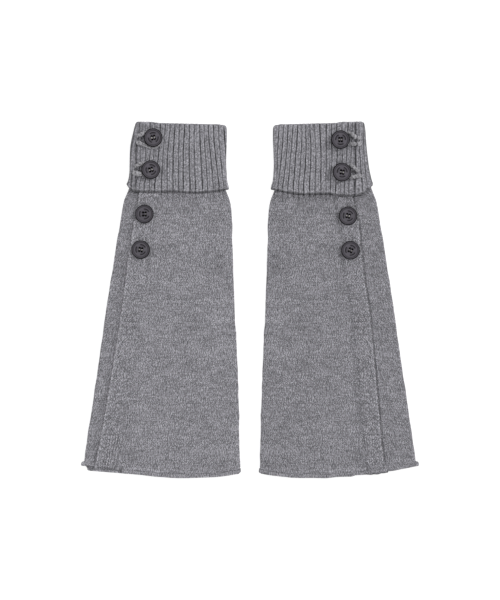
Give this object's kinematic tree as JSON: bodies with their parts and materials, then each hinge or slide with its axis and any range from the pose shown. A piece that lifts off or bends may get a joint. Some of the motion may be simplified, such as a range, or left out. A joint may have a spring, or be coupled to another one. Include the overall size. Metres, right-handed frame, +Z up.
{
  "type": "leg warmers",
  "caption": "Pair of knitted leg warmers laid flat: flared plain-knit tubes that close at the side with a button band, under turned-down rib cuffs with yarn loops and buttons.",
  "frame": {"origin": "on the table, under the centre of the pair's bounding box", "axes": "+Z up from the table, towards the pair's front; +Y from the hems towards the cuffs; +X from the left warmer to the right one as seen from above"},
  "size_m": [0.3953, 0.4199, 0.0171],
  "materials": {
    "plain_knit": "heather grey plain knit, matt",
    "rib_knit": "heather grey rib knit, matt",
    "yarn": "light grey crocheted yarn, matt",
    "button_plastic": "dark grey plastic, satin"
  },
  "bodies": {
    "root": {"body_left": "plain_knit", "body_right": "plain_knit", "band_left": "rib_knit", "band_right": "rib_knit", "cuff_left": "rib_knit", "cuff_right": "rib_knit", "loop_left_1": "yarn", "loop_left_2": "yarn", "loop_right_1": "yarn", "loop_right_2": "yarn", "button_left_1": "button_plastic", "button_left_2": "button_plastic", "button_left_3": "button_plastic", "button_left_4": "button_plastic", "button_right_1": "button_plastic", "button_right_2": "button_plastic", "button_right_3": "button_plastic", "button_right_4": "button_plastic"}
  },
  "joints": []
}
